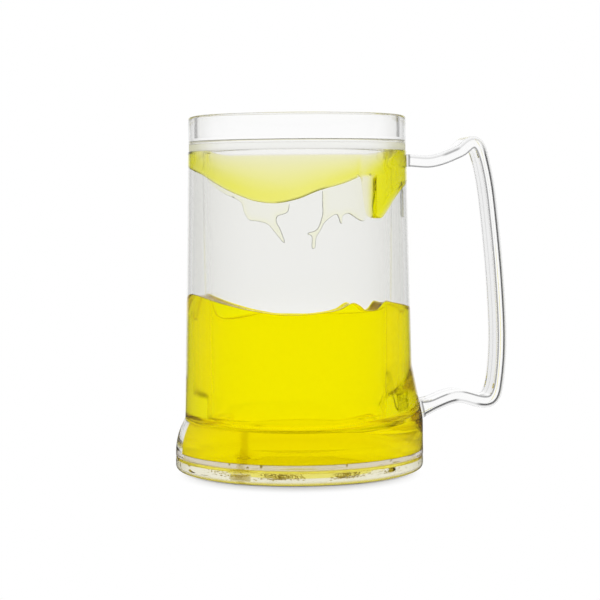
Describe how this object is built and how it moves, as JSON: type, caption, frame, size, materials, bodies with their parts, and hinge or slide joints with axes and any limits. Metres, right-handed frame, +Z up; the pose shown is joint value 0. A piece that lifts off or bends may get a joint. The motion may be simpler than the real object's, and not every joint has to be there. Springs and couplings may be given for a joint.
{
  "type": "freezer mug",
  "caption": "Clear double-walled drinking mug with freezing gel sealed between its walls, a flared foot, a rim collar and a bonded strap handle",
  "frame": {"origin": "centre of the base plate's underside, on the mug's axis", "axes": "+Z is up along the mug's axis, +X points to the handle, +Y follows from the right-hand rule"},
  "size_m": [0.1337, 0.0992, 0.1404],
  "materials": {
    "clear_plastic": "clear polished injection-moulded plastic",
    "yellow_gel": "translucent yellow gel with a few bubbles",
    "gel_film": "thin pale film of gel",
    "adhesive": "mottled clear adhesive with small bubbles",
    "plug_rubber": "soft matt rubber"
  },
  "bodies": {
    "root": {"outer_shell": "clear_plastic", "inner_liner": "clear_plastic", "handle": "clear_plastic", "base_plate": "clear_plastic", "gel_lower": "yellow_gel", "gel_upper": "yellow_gel", "gel_film": "gel_film", "base_bond_ring": "adhesive", "rim_bond_ring": "adhesive", "fill_plug": "plug_rubber"}
  },
  "joints": []
}
